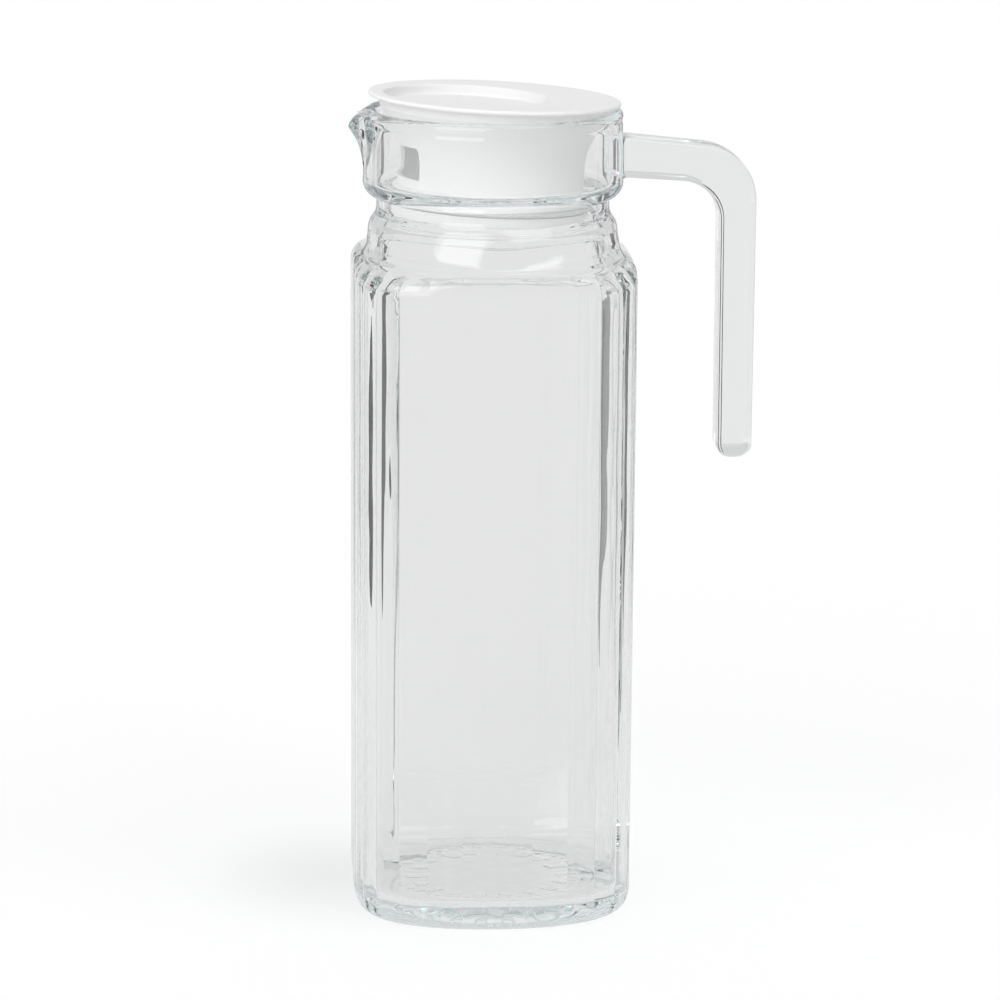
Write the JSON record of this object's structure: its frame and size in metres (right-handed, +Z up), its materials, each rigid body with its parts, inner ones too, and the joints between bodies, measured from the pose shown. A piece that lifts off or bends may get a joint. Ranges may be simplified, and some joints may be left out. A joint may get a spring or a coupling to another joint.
{
  "type": "water jug",
  "caption": "Tall clear glass water jug, square with rounded fluted sides, a round collar with pouring lip, an open-ended side handle and a white plug lid.",
  "frame": {"origin": "centre of the base's resting face, on the axis of the neck", "axes": "+Z up, +X towards the handle, -X towards the pouring lip"},
  "size_m": [0.1229, 0.0852, 0.2511],
  "materials": {
    "jug_glass": "polished, faintly blue-green",
    "handle_glass": "polished, faintly blue-green",
    "lid_plastic": "satin white",
    "seal_plastic": "soft, satin white"
  },
  "bodies": {
    "jug": {"glass_jug": "jug_glass", "glass_handle": "handle_glass"},
    "seal": {"lid_seal": "seal_plastic"},
    "lid": {"lid": "lid_plastic"}
  },
  "joints": [
    {"name": "lid_lift", "type": "slide", "parent": "jug", "child": "seal", "axis": [0, 0, 1], "range_m": [0, 0.06]},
    {"name": "lid_turn", "type": "hinge", "parent": "seal", "child": "lid", "pos_m": [0.0004, 0, 0.24869], "axis": [0.0455, 0.0122, 0.9989], "continuous": true}
  ]
}
